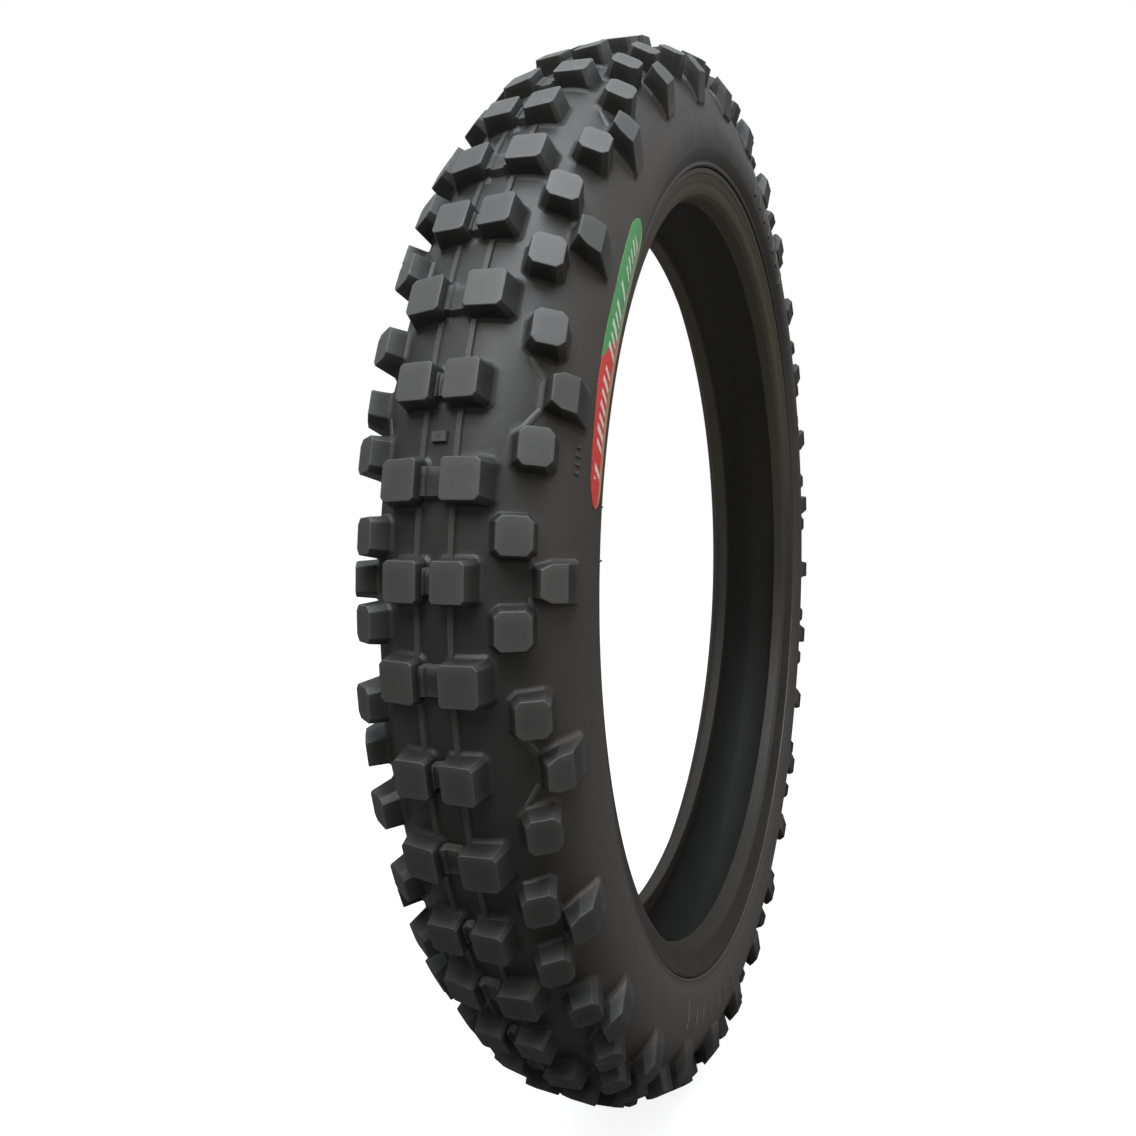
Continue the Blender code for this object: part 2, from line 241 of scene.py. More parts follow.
def finish_mesh(ob, sharp_angle, weld=None):
    """Weld if asked, turn the faces outward and shade smooth up to the sharp angle (degrees)."""
    bm = bmesh.new()
    bm.from_mesh(ob.data)
    if weld is not None:
        bmesh.ops.remove_doubles(bm, verts=bm.verts, dist=weld * MM)
    bmesh.ops.recalc_face_normals(bm, faces=bm.faces)
    if bm.calc_volume(signed=True) < 0:
        bmesh.ops.reverse_faces(bm, faces=bm.faces)
    bm.to_mesh(ob.data)
    bm.free()
    mesh = ob.data
    mesh.polygons.foreach_set("use_smooth", [True] * len(mesh.polygons))
    mesh.set_sharp_from_angle(angle=math.radians(sharp_angle))


def join_rings(first, second):
    """Quads between two closed rings of vertex numbers."""
    count = len(first)
    return [(first[i], first[(i + 1) % count], second[(i + 1) % count], second[i])
            for i in range(count)]


def tube(verts, ring_size, rings):
    """Capped tube over vertices laid out ring after ring."""
    numbers = [tuple(range(k * ring_size, (k + 1) * ring_size)) for k in range(rings)]
    faces = []
    for first, second in zip(numbers, numbers[1:]):
        faces += join_rings(first, second)
    faces += [numbers[0][::-1], numbers[-1]]
    return np.array(verts), faces


def grid_rim(index, start, ni, nj):
    """Vertex numbers round the border of a grid of ni by nj cells."""
    return ([index(start, i, 0) for i in range(ni + 1)]
            + [index(start, ni, j) for j in range(1, nj + 1)]
            + [index(start, i, nj) for i in range(ni - 1, -1, -1)]
            + [index(start, 0, j) for j in range(nj - 1, 0, -1)])


def closed_stack(verts, starts, index, ni, nj):
    """Solid from stacked grids: walls between their borders, the lowest and highest as caps."""
    faces = []
    rims = [grid_rim(index, start, ni, nj) for start in starts]
    for lower, upper in zip(rims, rims[1:]):
        faces += join_rings(lower, upper)
    for start, way in ((starts[0], -1), (starts[-1], 1)):
        for i in range(ni):
            for j in range(nj):
                quad = (index(start, i, j), index(start, i + 1, j),
                        index(start, i + 1, j + 1), index(start, i, j + 1))
                faces.append(quad[::way])
    # the grids between the caps leave their inner vertices unused
    used = sorted({i for f in faces for i in f})
    renumber = {old: new for new, old in enumerate(used)}
    return np.array(verts)[used], [tuple(renumber[i] for i in f) for f in faces]


def drawn_in(section):
    """Sections near the bead lean a little towards the centre line, as on a tyre off its rim."""
    section = np.array(section, float)
    y, r = section[:, 0], section[:, 1]
    pull = np.interp(r, [228.0, 234.0, 245.0, 252.0], [2.2, 2.0, 0.7, 0.0])
    share = np.clip((np.abs(y) - 22.0) / 8.0, 0.0, 1.0)
    section[:, 0] = y - np.sign(y) * pull * share
    return section


def revolve(name, replaced, section, slot_name, facets=HIDDEN_FACETS, sharp_angle=38.0):
    """Closed section (y, r) turned into a ring that replaces a piece of the frame."""
    y, r = drawn_in(section).T
    size = len(y)
    verts = np.concatenate([ring_point(row, y, r) for row in np.arange(facets) / facets * ROWS])
    rings = [range(i * size, (i + 1) * size) for i in range(facets)]
    faces = []
    for i in range(facets):
        faces += join_rings(rings[i], rings[(i + 1) % facets])
    ob = make(name, verts, faces, slot_name)
    finish_mesh(ob, sharp_angle)
    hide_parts(replaced)


# ------------------------------------------------------------------ section helpers
def offset(path, distance):
    """Open path moved sideways, to the left of its run."""
    path = np.array(path, float)
    step = np.diff(path, axis=0)
    normals = np.stack([-step[:, 1], step[:, 0]], -1) / np.hypot(*step.T)[:, None]
    moved = []
    for i, point in enumerate(path):
        before = normals[max(i - 1, 0)]
        after = normals[min(i, len(normals) - 1)]
        mitre = (before + after) / 2.0
        moved.append(point + distance * mitre / (mitre @ mitre))
    return np.array(moved)


def ribbon(path, left, right):
    """Closed section between two offsets of a path."""
    return np.vstack([offset(path, left), offset(path, right)[::-1]])


def round_path(path, radius=0.0, segments=4):
    """Closed polyline of (y, r) or (y, r, corner radius) with its corners rounded."""
    points = [np.array(q[:2], float) for q in path]
    radii = [q[2] if len(q) > 2 else radius for q in path]
    rounded = []
    for i, (corner, wanted) in enumerate(zip(points, radii)):
        back = points[i - 1] - corner
        ahead = points[(i + 1) % len(points)] - corner
        back_length, ahead_length = np.hypot(*back), np.hypot(*ahead)
        back, ahead = back / back_length, ahead / ahead_length
        angle = math.acos(float(np.clip(back @ ahead, -1, 1)))
        if wanted <= 0 or angle > math.radians(174):
            rounded.append(corner)
            continue
        cut = min(wanted / math.tan(angle / 2), 0.45 * back_length, 0.45 * ahead_length)
        fitted = cut * math.tan(angle / 2)
        middle = (back + ahead) / np.hypot(*(back + ahead))
        centre = corner + middle * (fitted / math.sin(angle / 2))
        start, end = (corner + way * cut - centre for way in (back, ahead))
        first = math.atan2(start[1], start[0])
        last = math.atan2(end[1], end[0])
        sweep = (last - first + math.pi) % TAU - math.pi
        for k in range(segments + 1):
            turn = first + sweep * k / segments
            rounded.append(centre + fitted * np.array([math.cos(turn), math.sin(turn)]))
    return np.array(rounded)


# ------------------------------------------------------------------ tread blocks
class Outline:
    """Anticlockwise outline (along the tread, sideways) with rounded corners; it can be grown."""

    CORNER = 0.7             # corner radius
    CORNER_STEPS = 3         # most steps round one corner
    EDGE_STEP = 2.6          # length of the steps along an edge

    def __init__(self, polygon):
        points = [np.array(q, float) for q in polygon]
        count = len(points)
        normals = []
        for i in range(count):
            edge = points[(i + 1) % count] - points[i]
            edge = edge / np.hypot(*edge)
            normals.append(np.array([edge[1], -edge[0]]))
        centres = []
        for i in range(count):
            mitre = (normals[i - 1] + normals[i]) / 2
            centres.append(points[i] - self.CORNER * mitre / (mitre @ mitre))
        cores, ways = [], []
        for i in range(count):
            first = math.atan2(normals[i - 1][1], normals[i - 1][0])
            last = math.atan2(normals[i][1], normals[i][0])
            sweep = (last - first) % TAU
            steps = max(1, min(self.CORNER_STEPS, int(round(math.degrees(sweep) / 20))))
            for j in range(steps + 1):
                turn = first + sweep * j / steps
                cores.append(centres[i])
                ways.append(np.array([math.cos(turn), math.sin(turn)]))
            edge = centres[(i + 1) % count] - centres[i]
            steps = max(1, int(round(np.hypot(*edge) / self.EDGE_STEP)))
            for j in range(1, steps):
                cores.append(centres[i] + edge * j / steps)
                ways.append(normals[i])
        self.cores, self.normals = np.array(cores), np.array(ways)

    def ring(self, growth):
        return self.cores + self.normals * (self.CORNER + growth)


def clipped(length, width, inner, outer):
    """Rectangle with clipped corners; inner and outer give each cut (along, sideways)."""
    x, y = length / 2, width / 2
    (inner_x, inner_y), (outer_x, outer_y) = inner, outer
    return Outline([(-x, -y + inner_y), (-x + inner_x, -y), (x - inner_x, -y), (x, -y + inner_y),
                    (x, y - outer_y), (x - outer_x, y), (-x + outer_x, y), (-x, y - outer_y)])


# block tops in plan; sideways grows away from the centre line
OUTLINES = {
    "narrow": clipped(14.4, 13.3, inner=(1.1, 1.1), outer=(1.4, 1.3)),
    "wide": clipped(14.9, 14.6, inner=(1.1, 1.1), outer=(1.7, 1.6)),
    "shoulder_a": clipped(13.5, 12.66, inner=(2.1, 2.1), outer=(2.3, 2.2)),
    "shoulder_b": clipped(13.5, 12.28, inner=(2.1, 2.1), outer=(2.3, 2.2)),
    "edge": Outline([(-4.7, -5.4), (4.7, -5.4), (6.6, -1.2), (6.7, 5.4), (-6.7, 5.4), (-6.6, -1.2)]),
}
# half sections (y, r): inner and outer corner of the top, inner and outer foot
SECTIONS = {
    "narrow": [(2.7, 308.75), (16.0, 308.75), (2.2, 301.2), (16.6, 299.2)],
    "wide": [(5.05, 308.7), (19.55, 306.95), (4.5, 301.2), (20.3, 297.5)],
    "shoulder_a": [(24.8, 304.4), (35.6, 297.8), (19.9, 297.7), (31.7, 289.1)],
    "shoulder_b": [(29.6, 301.2), (39.9, 294.6), (24.3, 295.1), (35.3, 284.7)],
    "edge": [(37.6, 295.7), (43.7, 286.8), (31.2, 289.6), (40.5, 273.4)],
}
# arc lengths of the inner and outer foot of each kind
FOOT = {kind: (FACE_P.nearest_arc(*points[2]), FACE_P.nearest_arc(*points[3]))
        for kind, points in SECTIONS.items()}
# shoulder blocks beside an even row: kind, distance from the row in rows
SHOULDERS = {0: ("shoulder_a", 0.463), 2: ("shoulder_b", 0.64)}

SEAM = 1.6745            # row of a straight line across the tread that clears every block foot
DRAFT = 0.72             # how much longer a block is at its foot than at its top, at each end
FILLET = 1.8             # reach of the fillet round a block foot
TIGHT = 0.70             # share of the fillet left where blocks stand too close for a full one
TOP_RINGS = ((-0.42, 0.0), (-0.13, -0.12), (0.0, -0.42))     # (growth, height from the top)
WALL_FOOT_LIFT = 1.45
FILLET_RINGS = ((0.20, 1.02), (1.15, 0.26))                  # (spread, lift)
# "height" attribute of a block's rings, from the foot up
RING_HEIGHTS = [0.02, 0.06, 0.13, 0.5, 0.95, 0.985, 1.0]

FLOOR_COLUMNS = 52       # stations along one period of the floor
FLOOR_STATIONS = 46      # stations across the floor
FLOOR_STEP = 2.5         # spacing of the floor's inner points
FOOT_GAP = 1.1           # distance they keep from a block foot


def period_blocks():
    """(row, kind) of the blocks of one repeat, starting at the seam."""
    blocks = []
    for row in range(PERIOD_ROWS):
        if row % 2:
            blocks.append((row, "wide"))
            continue
        kind, away = SHOULDERS[row]
        blocks += [(row, "narrow"), (row, "edge"), (row - away, kind), (row + away, kind)]
    return [(row + PERIOD_ROWS if row < SEAM else row, kind) for row, kind in blocks]


def build_block(row, kind, side):
    """Rings of vertices from a block's top down, and its floor ring (rows, arcs)."""
    outline = OUTLINES[kind]
    (y_in, r_in), (y_out, r_out) = SECTIONS[kind][:2]
    foot_in, foot_out = FOOT[kind]
    tilt = math.atan2(r_in - r_out, y_out - y_in)
    width = math.hypot(y_out - y_in, r_out - r_in)
    angle = row * PITCH
    radial = np.array([-math.cos(angle), 0.0, math.sin(angle)])
    around = np.array([math.sin(angle), 0.0, math.cos(angle)])
    sideways = np.array([0.0, float(side), 0.0])
    up = radial * math.cos(tilt) + sideways * math.sin(tilt)
    out = sideways * math.cos(tilt) - radial * math.sin(tilt)
    centre = radial * ((r_in + r_out) / 2) + sideways * ((y_in + y_out) / 2)

    def top_ring(growth, height):
        plan = outline.ring(growth)
        return centre + plan[:, :1] * around + plan[:, 1:] * out + height * up

    def foot_ring(spread):
        plan = outline.ring(0.0)
        along = plan[:, 0] + outline.normals[:, 0] * (DRAFT + spread)
        arc = ((foot_in + foot_out) / 2 + plan[:, 1] * (foot_out - foot_in) / width
               + outline.normals[:, 1] * spread)
        return row + along / (FACE_P.radius(arc) * PITCH), arc * side

    rings = [top_ring(growth, height) for growth, height in TOP_RINGS]
    wall = skin(*foot_ring(0.0), WALL_FOOT_LIFT)
    rings += [rings[-1] * 0.5 + wall * 0.5, wall]
    # an edge block stands close to the two shoulder blocks of kind a beside it
    close = kind == "shoulder_a" or (kind == "edge" and row % PERIOD_ROWS == 0)
    share = TIGHT if close else 1.0
    rings += [skin(*foot_ring(spread * share), lift) for spread, lift in FILLET_RINGS]
    return rings, foot_ring(FILLET * share)


# ------------------------------------------------------------------ tread floor
def in_bounds(x, y, loop, gap=0.0):
    low, high = loop.min(0) - gap, loop.max(0) + gap
    return low[0] <= x <= high[0] and low[1] <= y <= high[1]


def inside(x, y, loop):
    """Whether a point lies inside a closed loop, by counting edge crossings."""
    if not in_bounds(x, y, loop):
        return False
    after = np.roll(loop, -1, axis=0)
    crossed = (loop[:, 1] > y) != (after[:, 1] > y)
    (ax, ay), (bx, by) = loop[crossed].T, after[crossed].T
    return np.count_nonzero(x < (bx - ax) * (y - ay) / (by - ay) + ax) % 2 == 1


def is_clear(x, y, loops, gap):
    """Whether a point lies outside all the loops and at least the gap away from them."""
    for loop in loops:
        if not in_bounds(x, y, loop, gap):
            continue
        edge = np.roll(loop, -1, axis=0) - loop
        share = np.clip((([x, y] - loop) * edge).sum(1) / (edge * edge).sum(1), 0, 1)
        distance = np.hypot(*(loop + edge * share[:, None] - [x, y]).T)
        if distance.min() < gap or inside(x, y, loop):
            return False
    return True


def floor_grid(x0, x1, feet):
    """Staggered inner points of the floor plan, kept clear of the block feet."""
    nx = int((x1 - x0) / FLOOR_STEP)
    ny = int(2 * TREAD_EDGE / FLOOR_STEP)
    points = []
    for i in range(1, nx):
        for j in range(1, ny):
            x = x0 + (x1 - x0) * (i + (0.25 if j % 2 else -0.25)) / nx
            y = -TREAD_EDGE + 2 * TREAD_EDGE * j / ny
            if is_clear(x, y, feet, FOOT_GAP):
                points.append((x, y))
    return points


def closed_edges(start, count):
    return [(start + i, start + (i + 1) % count) for i in range(count)]


def tread_period():
    """One closed-bottomed repeat of the tread: vertices, faces and the height attribute."""
    blocks = [build_block(row, kind, side) for row, kind in period_blocks() for side in (1, -1)]

    # plan of the floor: its border, then the block feet, then the inner points
    rows = SEAM + float(PERIOD_ROWS) * np.arange(FLOOR_COLUMNS + 1) / FLOOR_COLUMNS
    arcs = np.linspace(-TREAD_EDGE, TREAD_EDGE, FLOOR_STATIONS + 1)
    border = ([(row, -TREAD_EDGE) for row in rows]
              + [(rows[-1], arc) for arc in arcs[1:]]
              + [(row, TREAD_EDGE) for row in rows[::-1][1:]]
              + [(rows[0], arc) for arc in arcs[::-1][1:-1]])
    plan = [(row * PLAN_SCALE, arc) for row, arc in border]
    edges = closed_edges(0, len(plan))
    feet, starts = [], []
    for _, (foot_rows, foot_arcs) in blocks:
        foot = np.stack([foot_rows * PLAN_SCALE, foot_arcs], -1)
        edges += closed_edges(len(plan), len(foot))
        starts.append(len(plan))
        plan += [tuple(point) for point in foot]
        feet.append(foot)
    plan += floor_grid(rows[0] * PLAN_SCALE, rows[-1] * PLAN_SCALE, feet)

    result = delaunay_2d_cdt([Vector(point) for point in plan], edges, [], 0, 1e-5)
    flat = np.array([(point.x, point.y) for point in result[0]])
    number = {old: new for new, olds in enumerate(result[3]) for old in olds}
    verts = list(skin(flat[:, 0] / PLAN_SCALE, flat[:, 1]))
    heights = [0.0] * len(verts)
    faces = []
    for triangle in result[2]:
        x, y = flat[list(triangle)].mean(0)
        if not any(inside(x, y, foot) for foot in feet):
            faces.append(tuple(triangle))

    def add_ring(ring, height, below):
        """Adds a ring, joins it to the one below and returns its vertex numbers."""
        numbers = list(range(len(verts), len(verts) + len(ring)))
        verts.extend(ring)
        heights.extend([height] * len(ring))
        faces.extend(join_rings(below, numbers))
        return numbers

    for (rings, _), start in zip(blocks, starts):
        last = [number[start + i] for i in range(len(rings[0]))]
        for height, ring in zip(RING_HEIGHTS, rings[::-1]):
            last = add_ring(ring, height, last)
        # top face: one inner ring and a centre point
        centre = rings[0].mean(0)
        last = add_ring(centre + (rings[0] - centre) * 0.55, 1.0, last)
        verts.append(centre)
        heights.append(1.0)
        middle = len(verts) - 1
        faces += [(last[i], last[(i + 1) % len(last)], middle) for i in range(len(last))]

    # underside: strips between the two edges of the floor
    under = [(-y, r) for y, r in TREAD_UNDER[::-1]] + TREAD_UNDER
    columns = []
    for i, row in enumerate(rows):
        column = [number[i]]
        for y, r in under:
            column.append(len(verts))
            verts.append(ring_point(row, y, r))
            heights.append(0.0)
        column.append(number[2 * FLOOR_COLUMNS + FLOOR_STATIONS - i])
        columns.append(column)
    for a, b in zip(columns, columns[1:]):
        faces += [(a[j], a[j + 1], b[j + 1], b[j]) for j in range(len(a) - 1)]
    return np.array(verts), faces, np.array(heights)


def turned(verts, rows):
    """Vertices turned round the axle in the direction the rows count."""
    angle = rows * PITCH
    cos, sin = math.cos(angle), math.sin(angle)
    x, y, z = verts.T
    return np.stack([x * cos + z * sin, y, -x * sin + z * cos], -1)


def build_tread():
    verts, faces, heights = tread_period()
    batch = Batch()
    for k in range(PERIODS):
        batch.add((turned(verts, PERIOD_ROWS * k), faces))
    tread = make("tread_pattern", batch.verts, batch.faces, "tread_rubber",
                 {"height": np.tile(heights, PERIODS)})
    finish_mesh(tread, sharp_angle=50.0, weld=0.02)
    weighted = tread.modifiers.new("weighted", "WEIGHTED_NORMAL")
    weighted.mode = "FACE_AREA"
    weighted.weight = 90
    weighted.keep_sharp = True
    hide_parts("tread")


# ------------------------------------------------------------------ details on the tread floor
# every raised detail is flat in the "height" attribute
DETAIL_HEIGHT = 0.3


def raised_patch(rows, arcs, height, taper, cells, sink=0.6):
    """Closed raised patch on the face; cells are its counts along and across."""
    n_along, n_across = cells
    levels = ((-sink, 0.0), (height - min(0.3, height * 0.4), taper * 0.8), (height, taper))
    verts, starts = [], []
    for lift, inset in levels:
        starts.append(len(verts))
        inset_rows = inset / PLAN_SCALE
        for row in np.linspace(rows[0] + inset_rows, rows[1] - inset_rows, n_along + 1):
            for arc in np.linspace(arcs[0] + inset, arcs[1] - inset, n_across + 1):
                verts.append(skin(row, arc, lift))

    def index(start, i, j):
        return start + i * (n_across + 1) + j

    return closed_stack(verts, starts, index, n_along, n_across)


def bridge(row, half_length, reach, height, waist, flat):
    """Low bar across the centre line between two blocks.

    It is dished in plan down to the waist share of its length, reaches out to y = -reach..reach,
    and rises to the blocks beyond the flat share of that reach.
    """
    n_across, n_along = 28, 6
    # (lift, growth in half length, share of the rise) of the base, the shoulder and the top
    levels = ((-0.8, 0.75, 0.0), (height * 0.55, 0.18, 0.5), (height, -0.25, 1.0))
    edge_drop = 0.28
    verts, starts = [], []
    for level, (lift, growth, rise_share) in enumerate(levels):
        starts.append(len(verts))
        for y in np.linspace(-reach, reach, n_across + 1):
            out = abs(2 * (y + reach) / (2 * reach) - 1)
            half = half_length * (waist + (1 - waist) * out ** 3)
            ramp = min(1.0, max(0.0, (out - flat) / 0.16))
            rise = ramp * ramp * (3.0 - 2.0 * ramp)
            for i in range(n_along + 1):
                along = (2.0 * i / n_along - 1.0) * (half + growth)
                height_here = lift + rise * rise_share
                if level == 2 and i in (0, n_along):
                    height_here -= edge_drop
                r = float(FACE_P.at(abs(y))[1]) + height_here
                verts.append(ring_point(row + along / (r * PITCH), y, r))

    def index(start, i, j):
        return start + j * (n_along + 1) + i

    return closed_stack(verts, starts, index, n_along, n_across)


def ridge(start, end, width, height, steps=8):
    """Thin raised ridge between two (row, arc) points of the face."""
    first = np.array([start[0] * PLAN_SCALE, start[1]])
    run = np.array([(end[0] - start[0]) * PLAN_SCALE, end[1] - start[1]])
    direction = run / np.hypot(*run)
    normal = np.array([-direction[1], direction[0]])
    # (share of the width sideways, lift)
    section = ((-0.75, -0.5), (-0.5, 0.15), (-0.22, height),
               (0.22, height), (0.5, 0.15), (0.75, -0.5))
    verts = []
    for i in range(steps + 1):
        for share, lift in section:
            x, y = first + run * (i / steps) + normal * (width * share)
            verts.append(skin(x / PLAN_SCALE, y, lift))
    return tube(verts, len(section), steps + 1)


RIB_ARC, RIB_HALF_WIDTH = 6.7, 1.35


def build_tread_details():
    batch = Batch()
    edge_foot = FOOT["edge"][0] + 0.3
    for row in range(ROWS):
        if row % 2:
            batch.add(bridge(row, half_length=5.6, reach=5.6, height=3.0, waist=0.93, flat=0.42))
        else:
            batch.add(bridge(row, half_length=6.0, reach=3.4, height=3.2, waist=0.70, flat=0.40))
        # twin ribs between this row and the next
        for side in (-1, 1):
            arcs = sorted(side * (RIB_ARC + half) for half in (-RIB_HALF_WIDTH, RIB_HALF_WIDTH))
            batch.add(raised_patch((row + 0.20, row + 0.80), arcs, height=1.15, taper=0.4,
                                   cells=(8, 2)))
        # a short bar across the centre line, once every eight rows
        if row % 8 == 1:
            batch.add(raised_patch((row + 0.413, row + 0.533), (-2.6, 3.6), height=1.5,
                                   taper=0.3, cells=(3, 4)))
        if row % 2:
            continue
        # ridges from the edge block to the two shoulder blocks beside it
        if row % PERIOD_ROWS == 0:
            away, shoulder_arc = 0.29, FOOT["shoulder_a"][1] - 1.4
        else:
            away, shoulder_arc = 0.45, FOOT["shoulder_b"][0] + 2.0
        for side in (-1, 1):
            for way in (-1, 1):
                batch.add(ridge((row + way * 0.15, side * edge_foot),
                                (row + way * away, side * shoulder_arc), width=2.6, height=0.55))
    details = make("tread_bridges_and_ribs", batch.verts, batch.faces, "tread_rubber",
                   {"height": np.full(len(batch.verts), DETAIL_HEIGHT)})
    finish_mesh(details, sharp_angle=42.0)


# ------------------------------------------------------------------ sidewalls and rim strips
# foot of the sidewall, from its outer face round to its back (y, r, corner radius)
WALL_FOOT = [(38.2, 246.0, 0.4), (38.55, 244.9, 0.35), (38.3, 243.95, 0.35),
             (36.4, 243.75, 0.3), (35.4, 243.8, 0.1)]
# rim strip: flange face, heel, base, toe, then back up inside (y, r, corner radius)
RIM_STRIP = [
    (37.6, 243.35, 0.6), (37.3, 240.9, 0.5), (36.85, 240.3, 0.5), (36.0, 236.9, 0.6),
    (35.7, 236.3, 0.5), (35.2, 233.4, 1.2), (34.2, 230.6, 1.8), (31.6, 228.8, 1.2),
    (22.1, 227.55, 0.7), (21.75, 228.6, 0.5), (22.2, 237.6, 0.4), (23.1, 237.6, 0.3),
    (23.3, 229.4, 0.5), (32.4, 230.2, 0.6), (34.1, 233.0, 0.8), (34.15, 243.35, 0.2),
]


def build_sidewalls():
    rim_line = FACE_P.arc_at_radius(247.4)
    face = FACE_P.points(np.linspace(TREAD_EDGE + 0.02, rim_line, 44), 0.0)
    foot = round_path([tuple(face[-1])] + WALL_FOOT, radius=0.3)[1:]
    back_arcs = np.linspace(CASE_P.arc_at_radius(244.6), CASE_P.arc_at_radius(268.4), 12)
    section = np.vstack([face, foot, CASE_P.points(back_arcs, 0.3)])
    for side, word in SIDES:
        revolve("sidewall_skin_" + word, "sidewall_" + word, section * [side, 1],
                "sidewall_rubber", facets=OUTER_FACETS, sharp_angle=40.0)


def build_rim_strips():
    section = round_path(RIM_STRIP, segments=5)
    for side, word in SIDES:
        revolve("bead_strip_" + word, "rim_strip_" + word, section * [side, 1],
                "rim_strip_rubber", facets=OUTER_FACETS, sharp_angle=45.0)


# ------------------------------------------------------------------ layers inside
BREAKER_END = CASE_P.arc_at_radius(286.5)
PLY_END = CASE_P.arc_at_radius(234.9)
# name, replaced piece, slot, lift of the two faces, arc of the end, points across
SHEETS = (
    ("breaker_inner", "breaker_ply_inner", "breaker_cord", (0.3, 1.1), BREAKER_END, 24),
    ("breaker_outer", "breaker_ply_outer", "breaker_cord", (1.4, 2.2), BREAKER_END - 2.0, 24),
    ("cushion_gum", "undertread_cushion", "cushion_gum", (2.5, 3.1), BREAKER_END, 24),
    ("ply_outer", "body_ply_outer", "ply_cord", (-0.9, 0.0), PLY_END, 90),
)
PLY_BEND = (31.0, 247.6, 6.0)        # bend above the bead (y, r, corner radius)
# the inner ply goes on down inside the bead, round it and up again (y, r, corner radius)
PLY_TURN_UP = [PLY_BEND, (24.05, 238.2, 2.5), (24.05, 232.45, 1.3), (31.95, 232.45, 1.3),
               (32.05, 244.6, 3.0), (33.2, 249.0)]
LINER_END = [PLY_BEND, (26.2, 241.1)]


def build_sheets():
    """Layers that follow the casing from side to side."""
    for name, replaced, slot_name, (low, high), end, count in SHEETS:
        arcs = np.linspace(-end, end, count)
        section = np.vstack([CASE_P.points(arcs, high), CASE_P.points(arcs[::-1], low)])
        revolve(name, replaced, section, slot_name)


def inner_path(ending):
    """Path just inside the outer ply, from ending to ending, mirrored about the centre line."""
    arcs = np.linspace(0.4, CASE_P.arc_at_radius(260.6), 34)
    crown = CASE_P.points(arcs, -1.65)
    turn = round_path([tuple(crown[-1])] + ending, segments=5)[1:]
    half = np.vstack([crown, turn])
    return np.vstack([half[::-1] * [-1, 1], half])


def build_inner_ply_and_liner():
    revolve("ply_inner", "body_ply_inner", ribbon(inner_path(PLY_TURN_UP), 0.45, -0.45),
            "ply_cord")
    revolve("liner_skin", "inner_liner", ribbon(inner_path(LINER_END), -0.75, -1.55),
            "liner_rubber", facets=LINER_FACETS)


def bead_core_section():
    """Outline of four by four strands, each outer one showing as a bulge."""
    y_in, y_out, r_in, r_out = 25.7, 30.3, 234.1, 239.1
    strands = 4
    depth = 0.5                          # how far a bulge stands out
    half_across, half_up = 0.52, 0.56    # half widths of the bulges
    shares = (np.arange(strands) + 0.5) / strands
    across = (y_out - y_in) * shares
    up = (r_out - r_in) * shares
    # start angle, half sizes and centres of the bulges on each side, clockwise from the outer
    runs = (
        (math.pi, (half_across, depth), [(y_in + way, r_out - depth) for way in across]),
        (math.pi / 2, (depth, half_up), [(y_out - depth, r_out - way) for way in up]),
        (0.0, (half_across, depth), [(y_out - way, r_in + depth) for way in across]),
        (-math.pi / 2, (depth, half_up), [(y_in + depth, r_in + way) for way in up]),
    )
    points = []
    for start, (half_y, half_r), centres in runs:
        for y, r in centres:
            for angle in np.linspace(start, start - math.pi, 5)[:-1]:
                points.append((y + half_y * math.cos(angle), r + half_r * math.sin(angle)))
    return np.array(points)


# triangular filler on top of the bead core (y, r)
APEX = [(26.1, 239.4), (30.9, 239.4), (31.1, 243.2), (31.5, 246.6)]
# wrap round the underside of the core (y, r, corner radius)
CORE_WRAP = [(25.1, 237.6), (25.1, 233.5, 0.6), (30.9, 233.5, 0.6), (30.9, 239.0)]


def build_beads():
    pieces = (
        ("bead_core_", "bead_wire_", "bead_steel", bead_core_section()),
        ("apex_filler_", "bead_filler_", "filler_rubber", round_path(APEX, 0.3, segments=3)),
        ("core_wrap_", "bead_flipper_", "flipper_fabric", ribbon(round_path(CORE_WRAP), 0.3, -0.3)),
    )
    for side, word in SIDES:
        for name, replaced, slot_name, section in pieces:
            revolve(name + word, replaced + word, section * [side, 1], slot_name)


# ------------------------------------------------------------------ sidewall transfer
LABEL_START, LABEL_END = 5.8, 34.6       # degrees from -X towards +Z
LABEL_LIFTS = (0.34, 0.04)               # top and underside above the sidewall
# outer and inner edge of the band (degrees), (r)
LABEL_OUTER = ([5.8, 10.0, 16.0, 20.0, 25.0, 34.6], [266.4, 267.4, 268.1, 267.8, 266.6, 266.0])
LABEL_INNER = ([5.8, 10.0, 15.0, 21.0, 28.0, 34.6], [257.9, 257.3, 256.3, 253.6, 251.9, 252.6])
LABEL_ROUNDING = 2.4                     # degrees over which an end is rounded


